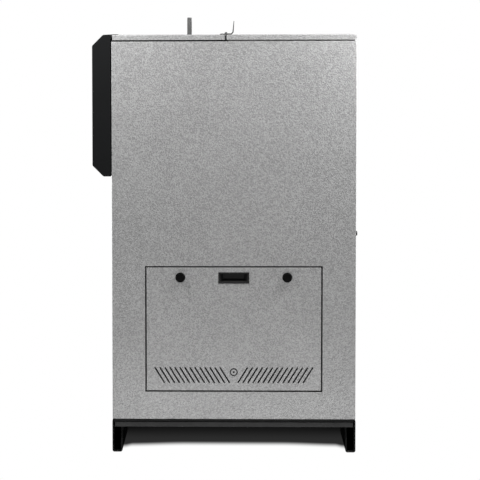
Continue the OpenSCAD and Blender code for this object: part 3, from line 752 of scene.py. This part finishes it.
pale_ink = moulding("pale_ink", 0.45, 0.5, 0.3)
bar = [rectangle(bar_half_w, bar_half_h, height) for height in (bar_sunk, ink_rise)]
hoop = [circle(radius, height) for radius, height in (
    (hoop_outer, hoop_sunk), (hoop_outer, ink_rise),
    (hoop_inner, ink_rise), (hoop_inner, hoop_sunk),
)]
for name, up, shape in (
    ("switch_bar", mark_up, lofted(bar)), ("switch_hoop", -mark_up, lofted(hoop, joined=True))
):
    rise = rocker_out(up + slope_step) - rocker_out(up - slope_step)
    rise /= 2 * slope_step * reach_h
    place = (middle[0] - rocker_out(up), middle[1], middle[2] + up * reach_h)
    mark = made(name, settled(shape, place, (-1, 0, -rise)), pale_ink)
    show(mark, "casing", "trim")


# ---- Hopper
# The pellet bin is folded from galvanised sheet and hangs by its rim between the panels.
# A tapered funnel is welded under it, and runs down to the pellet outlet.
def spangled_zinc():
    """Hot-dip zinc, with crystals about a centimetre across and scuffs from the pellets."""
    finish, start = new_finish("spangled_zinc")
    place = start.add("ShaderNodeTexCoord", out="Object")
    drift = grain(start, 60, 2.0).out("Color")
    place = start.vectors("MULTIPLY_ADD", drift, (0.012, 0.012, 0.012), place)
    crystal = start.add("ShaderNodeTexVoronoi", None, {"Vector": place, "Scale": 95}, out="Color")
    crystal = start.add("ShaderNodeSeparateColor", None, {"Color": crystal}, out="Red")
    scuff = grain(start, 22, 5.0, (1, 1, 0.25), 0.65).between(0.5, 0.72)
    colour = mix_colours(start, crystal, grey(0.29, -0.02), grey(0.47, -0.02))
    colour = mix_colours(start, scuff * 0.45, colour, grey(0.2, 0.06))
    close_finish(start, {
        "Base Color": colour,
        "Metallic": 0.85,
        "Roughness": 0.36 + crystal * 0.16 + scuff * 0.14,
    }, crystal * 0.3 + grain(start, 500) * 0.3, 0.00008)
    return finish


galvanised = spangled_zinc()
for node in ("hopper_bin", "hopper_funnel"):
    softened(node, galvanised, 0.0008)

# Lays a seam of small overlapping beads along each line
start = open_tree("weld_seam", {
    "Finish": "Material", "Bead": "Float", "Pitch": "Float", "Seed": "Int",
})
line = start.add("GeometryNodeMeshToCurve", None, {"Mesh": start})
beads = start.add(
    "GeometryNodeCurveToPoints", {"mode": "LENGTH"}, {"Curve": line, "Length": start.out("Pitch")}
)
bead = start.add("GeometryNodeMeshIcoSphere", None, {
    "Radius": start.out("Bead"), "Subdivisions": 2
})
size = start.add("FunctionNodeRandomValue", {"data_type": "FLOAT"}, {
    2: 0.8, 3: 1.15, 8: start.out("Seed")
}, out=1)
seam = start.add("GeometryNodeInstanceOnPoints", None, {
    "Points": beads, "Instance": bead, "Scale": size
})
weld_seam = close_tree(seam, start.out("Finish"))

weld_grey = plated("weld_grey", 0.22, 0.45, wear=0.5)
bead_radius = 0.0024
bead_pitch = 0.0032
sheet_t = 0.0025
low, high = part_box("hopper_funnel")
mouth = [(x, y, high.z) for x, y in (
    (low.x + sheet_t, low.y + sheet_t), (high.x - sheet_t, low.y + sheet_t),
    (high.x - sheet_t, high.y - sheet_t), (low.x + sheet_t, high.y - sheet_t),
)]
outlet_l, outlet_w = 0.1, 0.12
centre = (low.x + high.x) / 2
outlet = [(centre + x * outlet_l / 2, y * outlet_w / 2, low.z + sheet_t) for x, y in (
    (-1, -1), (1, -1), (1, 1), (-1, 1)
)]
seams = [(i, (i + 1) % 4) for i in range(4)] + [(i, i + 4) for i in range(4)]
welds = grown("hopper_welds", weld_seam, {
    "Finish": weld_grey, "Bead": bead_radius, "Pitch": bead_pitch, "Seed": 11
}, mouth + outlet, seams, crease=80)
show(welds, "casing", "hopper")


# ---- Lid and top cover
# Flat insulated boxes of the casing's sheet and paint lie on the casing's upper edges: the
# fixed cover on grey sealing foam, the hopper's lid on a ring of black sponge rubber. A
# rubber strip stands in the split between them, on a foot that is glued to the crossbar.
def sponge(name, level, rough):
    """Cellular rubber with fine open pores in its skin."""
    finish, start = new_finish(name)
    pores = start.add("ShaderNodeTexVoronoi", None, {
        "Vector": start.add("ShaderNodeTexCoord", out="Object"), "Scale": 900
    })
    cloud = grain(start, 40)
    close_finish(start, {
        "Base Color": mix_colours(start, cloud, grey(level * 0.8), grey(level * 1.2)),
        "Roughness": rough,
        "Specular IOR Level": 0.25,
    }, pores, 0.0003)
    return finish


softened("lid_seal", sponge("black_sponge", 0.01, 0.9), 0.0016)
softened("top_cover_seal", sponge("grey_sponge", 0.45, 0.85), 0.0016)
for node in ("hopper_lid", "top_cover"):
    softened(node, hammered, cut_edge, fold)

strip_gap = 0.001
strip_drop = 0.0015
strip_round = 0.0008
strip_crown = 0.001
foot_short = 0.005
foot_play, lid_play = 0.0004, 0.0003
lid_low, lid_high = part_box("hopper_lid")
crossbar_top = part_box("top_crossbar")[1].z
low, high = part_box("top_cover")
half_t = (low.x - lid_high.x - strip_gap) / 2
half_w = high.y - strip_drop
foot_t = low.x - half_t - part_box("lid_seal")[1].x - foot_play
foot_top = lid_low.z - lid_play
strip_top = high.z - strip_drop
strip = lofted([
    rectangle(foot_t, half_w - foot_short, crossbar_top, strip_round),
    rectangle(foot_t, half_w - foot_short, foot_top - 0.0001, strip_round),
    rectangle(half_t, half_w, foot_top, strip_round),
    rectangle(half_t, half_w, strip_top - strip_crown, strip_round),
    rectangle(half_t - 0.0009, half_w - 0.001, strip_top, 0.0002),
])
strip.transform(Matrix.Translation((low.x - half_t, 0, 0)))
show(made("split_strip", strip, sponge("split_rubber", 0.055, 0.8)), "casing", "rubber")


# ---- Cover seals
# A thin strip of dark sponge rubber is glued on the ledge round each service cover. It
# shows at the bottom of the open joint as painted shade, darkening the joint.
joint = 0.005
joint_play = 0.0002
seal_t = 0.0012
# Dark rubber as painted shade at the bottom of the joints
seal_rubber_painted_shade = sponge("cover_seal_rubber", 0.07, 0.9)
for node, facing in (
    ("access_cover_right", (0, -1, 0)),
    ("access_cover_left", (0, 1, 0)),
    ("front_cover", (-1, 0, 0)),
):
    low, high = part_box(node)
    size = high - low
    inner = max(size.x, size.y) / 2 + joint_play, size.z / 2 + joint_play
    outer = [half + joint - 2 * joint_play for half in inner]
    seal = lofted([
        rectangle(*inner, 0), rectangle(*inner, seal_t),
        rectangle(*outer, seal_t), rectangle(*outer, 0),
    ], joined=True)
    place = (low + high) / 2 - Vector(facing) * min(size) / 2
    seal = made(node + "_seal", settled(seal, place, facing), seal_rubber_painted_shade)
    show(seal, "casing", "rubber")


# ---- Screws and the lid's inner pan
# Cross-head screws hold the folded sheet, and sunk ones the hinges and the lid's stop. The
# pan under the lid is pressed from galvanised sheet and screwed on through its flange.
screw_radius = 0.0042
screw_head = made("screw_head", lofted([
    circle(screw_radius, 0),
    circle(screw_radius, 0.0005),
    circle(0.0038, 0.0014),
    circle(0.003, 0.002),
    circle(0.0023, 0.0022),
    circle(0.0021, 0.0022, 4, 0.0013),
    circle(0.0017, 0.001, 4, 0.0012),
    [(0, 0, 0.0009)],
]))
sunk_head = made("sunk_head", lofted([
    circle(0.0039, 0),
    circle(0.0038, 0.0003),
    circle(0.0022, 0.0003),
    circle(0.0021, 0.0003, 4, 0.0013),
    circle(0.0017, 0.00012, 4, 0.0012),
    [(0, 0, 0.0001)],
]))
screw_zinc = plated("screw_zinc", 0.38, 0.34, warmth=0.03)


def screws(name, body, slot, finish, places, facing, seed, head=screw_head):
    """Cross-head screws at places on flat sheet, all facing one way."""
    heads = grown(name, set_out, {
        "Piece": head, "Finish": finish, "Most Turn": math.pi / 2, "Seed": seed
    }, places, facing=[facing] * len(places))
    return show(heads, body, slot)


pan_gap = 0.014
pan_flange = 0.016
pan_depth = 0.0105
pan_sheet = 0.001
rim = 0.02, 0.025
low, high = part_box("hopper_bin")
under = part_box("hopper_lid")[0].z
middle = ((low.x + high.x) / 2, 0, under)
half_l = (high.x - low.x) / 2 - rim[0] - pan_gap
half_w = (high.y - low.y) / 2 - rim[1] - pan_gap
pan = lofted([
    rectangle(half_w + pan_flange, half_l + pan_flange, -0.0005, 0.012),
    rectangle(half_w + pan_flange, half_l + pan_flange, pan_sheet, 0.012),
    rectangle(half_w + 0.0015, half_l + 0.0015, pan_sheet, 0.014),
    rectangle(half_w, half_l, 0.0018, 0.013),
    rectangle(half_w - 0.002, half_l - 0.002, pan_depth - 0.0025, 0.011),
    rectangle(half_w - 0.0029, half_l - 0.0029, pan_depth - 0.0007, 0.0105),
    rectangle(half_w - 0.0048, half_l - 0.0048, pan_depth, 0.009),
])
pan.transform(Matrix.Rotation(math.pi / 2, 4, "Z"))
pan.transform(Matrix.Translation(middle) @ Matrix.Rotation(math.pi, 4, "X"))
show(made("lid_pan", pan, galvanised, crease=30), "lid", "hopper")
to_screw = pan_flange / 2 + 0.0008
reach_l, reach_w = half_l + to_screw, half_w + to_screw
pan_screws = [(middle[0] + x * reach_l, y * reach_w, under - pan_sheet) for x, y in (
    (-1, -0.95), (-1, -0.32), (-1, 0.32), (-1, 0.95), (1, -0.95), (1, -0.32), (1, 0.32), (1, 0.95),
    (-0.3, -1), (0.3, -1), (-0.3, 1), (0.3, 1),
)]
screws("pan_screws", "lid", "zinc", screw_zinc, pan_screws, (0, 0, -1), 21)


# ---- Hinges and lid stop
# Two butt hinges of blackened steel join the lid to the top cover, each with three sunk
# screws in either leaf. The opened lid comes to rest against a bent steel strap behind them.
def blackened(name, level):
    """Steel under a thin dark oxide, rubbed paler where it is handled."""
    finish, start = new_finish(name)
    cloud = grain(start, 45, 3.0)
    rub = grain(start, 160, 4.0, (1, 3, 1), 0.6).between(0.5, 0.75)
    colour = mix_colours(start, cloud, grey(level * 0.75, 0.02), grey(level * 1.15, 0.02))
    colour = mix_colours(start, rub * 0.5, colour, grey(level * 2.2, 0.02))
    close_finish(start, {
        "Base Color": colour,
        "Metallic": 0.45,
        "Roughness": 0.42 + cloud * 0.16,
        "Specular IOR Level": 0.3,
    }, rub + grain(start, 700) * 0.4, 0.00005)
    return finish


hinge_steel = blackened("hinge_steel", 0.085)
for node in ("hinge_leaves_lid", "hinge_leaves_cover", "hinge_pins"):
    softened(node, hinge_steel, 0.0004)
softened("lid_stop", blackened("strap_steel", 0.012), 0.0005)

hinge_l = 0.08
leaf_t = 0.003
leaf_screw_x = 0.0137
leaf_screw_shares = (0.17, 0.5, 0.83)
pin_low, pin_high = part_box("hinge_pins")
axis_x = (pin_low.x + pin_high.x) / 2
head_t = 0.0015
hinge_starts = (pin_low.y + head_t, pin_high.y - head_t - hinge_l)
leaf_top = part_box("hopper_lid")[1].z + leaf_t
for body, side in (("lid", -1), ("casing", 1)):
    places = [
        (axis_x + side * leaf_screw_x, start_y + share * hinge_l, leaf_top)
        for start_y in hinge_starts for share in leaf_screw_shares
    ]
    screws(
        "hinge_screws_" + body, body, "ironwork", hinge_steel, places, (0, 0, 1), 30 + side,
        sunk_head,
    )
stop_t = 0.004
stop_screw_x, stop_screw_y = 0.0058, 0.018
low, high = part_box("lid_stop")
places = [(low.x + stop_screw_x, y, low.z + stop_t) for y in (-stop_screw_y, stop_screw_y)]
screws("stop_screws", "casing", "ironwork", hinge_steel, places, (0, 0, 1), 40, sunk_head)


# ---- Handle
# One length of square steel bar with rounded edges is bent into a bow and bolted through
# the lid from below. It is enamelled in satin grey.
def satin_enamel():
    finish, start = new_finish("satin_grey_enamel")
    cloud = grain(start, 50, 3.0)
    peel = grain(start, 700)
    close_finish(start, {
        "Base Color": mix_colours(start, cloud, grey(0.07), grey(0.088)),
        "Roughness": 0.5 + cloud * 0.1,
        "Specular IOR Level": 0.12,
    }, peel, 0.00008)
    return finish


start = open_tree("bent_bar", {
    "Finish": "Material", "Thickness": "Float", "Edge": "Float", "Bend": "Float",
    "Bend Steps": "Int",
})
path = start.add("GeometryNodeMeshToCurve", None, {"Mesh": start})
path = start.add("GeometryNodeFilletCurve", {"mode": "POLY"}, {
    "Curve": path, "Count": start.out("Bend Steps"), "Radius": start.out("Bend")
})
thickness = start.out("Thickness")
section = start.add("GeometryNodeCurvePrimitiveQuadrilateral", {"mode": "RECTANGLE"}, {
    0: thickness, 1: thickness
})
section = start.add("GeometryNodeFilletCurve", {"mode": "POLY"}, {
    "Curve": section, "Count": 5, "Radius": start.out("Edge")
})
bar = start.add("GeometryNodeCurveToMesh", None, {
    "Curve": path, "Profile Curve": section, "Fill Caps": True
})
bent_bar = close_tree(bar, start.out("Finish"))

enamel = satin_enamel()
sunk = 0.001
bar_edge, bar_bend = 0.0015, 0.02
low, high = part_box("lid_handle")
thickness = high.x - low.x
x = (low.x + high.x) / 2
foot_z, bar_z = low.z - sunk, high.z - thickness / 2
leg_right, leg_left = low.y + thickness / 2, high.y - thickness / 2
corners = [
    (x, leg_right, foot_z), (x, leg_right, bar_z), (x, leg_left, bar_z), (x, leg_left, foot_z)
]
handle = grown("lid_handle_bar", bent_bar, {
    "Finish": enamel, "Thickness": thickness, "Edge": bar_edge, "Bend": bar_bend,
    "Bend Steps": 10,
}, corners, [(0, 1), (1, 2), (2, 3)])
show(handle, "lid", "handle", "lid_handle")


# ---- Rear connections
# The flue spigot's socket and two threaded water sockets come out through the back panel,
# with a gland for the mains cable. The panel is held by zinc-plated screws.
def sooted_steel():
    """Heat-blackened steel with patches of brown and grey soot."""
    finish, start = new_finish("sooted_steel")
    soot = grain(start, 45, 5.0, rough=0.65).between(0.35, 0.65)
    close_finish(start, {
        "Base Color": mix_colours(start, soot, grey(0.075, 0.08), grey(0.018, 0.1)),
        "Metallic": 0.5,
        "Roughness": 0.5 + soot * 0.3,
    }, soot + grain(start, 400) * 0.5, 0.0002)
    return finish


softened("flue_socket", sooted_steel(), 0.0008)
socket_steel = plated("socket_steel", 0.36, 0.34, (12, 1, 1), 0.04)
sockets = ("flow_socket", "return_socket")
for node in sockets:
    softened(node, socket_steel, 0.0006)
softened("cable_gland", moulding("gland_black", 0.02, 0.4, 0.3), 0.0003)

# A helical ridge, drawn up Z
start = open_tree("screw_thread", {
    "Finish": "Material", "Radius": "Float", "Length": "Float", "Turns": "Float", "Ridge": "Float",
})
helix = start.add("GeometryNodeCurveSpiral", None, {
    "Resolution": 40, "Rotations": start.out("Turns"), "Start Radius": start.out("Radius"),
    "End Radius": start.out("Radius"), "Height": start.out("Length"), "Reverse": False,
})
section = start.add("GeometryNodeCurvePrimitiveCircle", None, {
    "Resolution": 6, "Radius": start.out("Ridge")
})
thread = start.add("GeometryNodeCurveToMesh", None, {
    "Curve": helix, "Profile Curve": section, "Fill Caps": True
})
screw_thread = close_tree(thread, start.out("Finish"))
thread_l, thread_pitch = 0.026, 0.0023
thread_radius, thread_ridge, thread_in = 0.0152, 0.0008, 0.0015
thread = grown("thread", screw_thread, {
    "Finish": socket_steel, "Radius": thread_radius, "Length": thread_l,
    "Turns": thread_l / thread_pitch, "Ridge": thread_ridge,
}, [(0, 0, 0)], crease=80)
places = []
for node in sockets:
    low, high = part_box(node)
    places.append((high.x - thread_in, (low.y + high.y) / 2, (low.z + high.z) / 2))
threads = grown("socket_threads", set_out, {
    "Piece": thread, "Finish": socket_steel, "Most Turn": 0.0, "Seed": 0
}, places, facing=[(-1, 0, 0)] * 2, crease=80)
show(threads, "casing", "zinc")

edge_in = 0.014
screw_rows = 6
low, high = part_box("back_panel")
columns = (low.y + edge_in, high.y - edge_in)
row_pitch = (high.z - low.z - 2 * edge_in) / (screw_rows - 1)
rows = [low.z + edge_in + row_pitch * row for row in range(screw_rows)]
places = [(high.x, y, z) for y in columns for z in rows]
places += [(high.x, 0, z) for z in (rows[0], rows[-1])]
screws("back_screws", "casing", "zinc", screw_zinc, places, (1, 0, 0), 50)
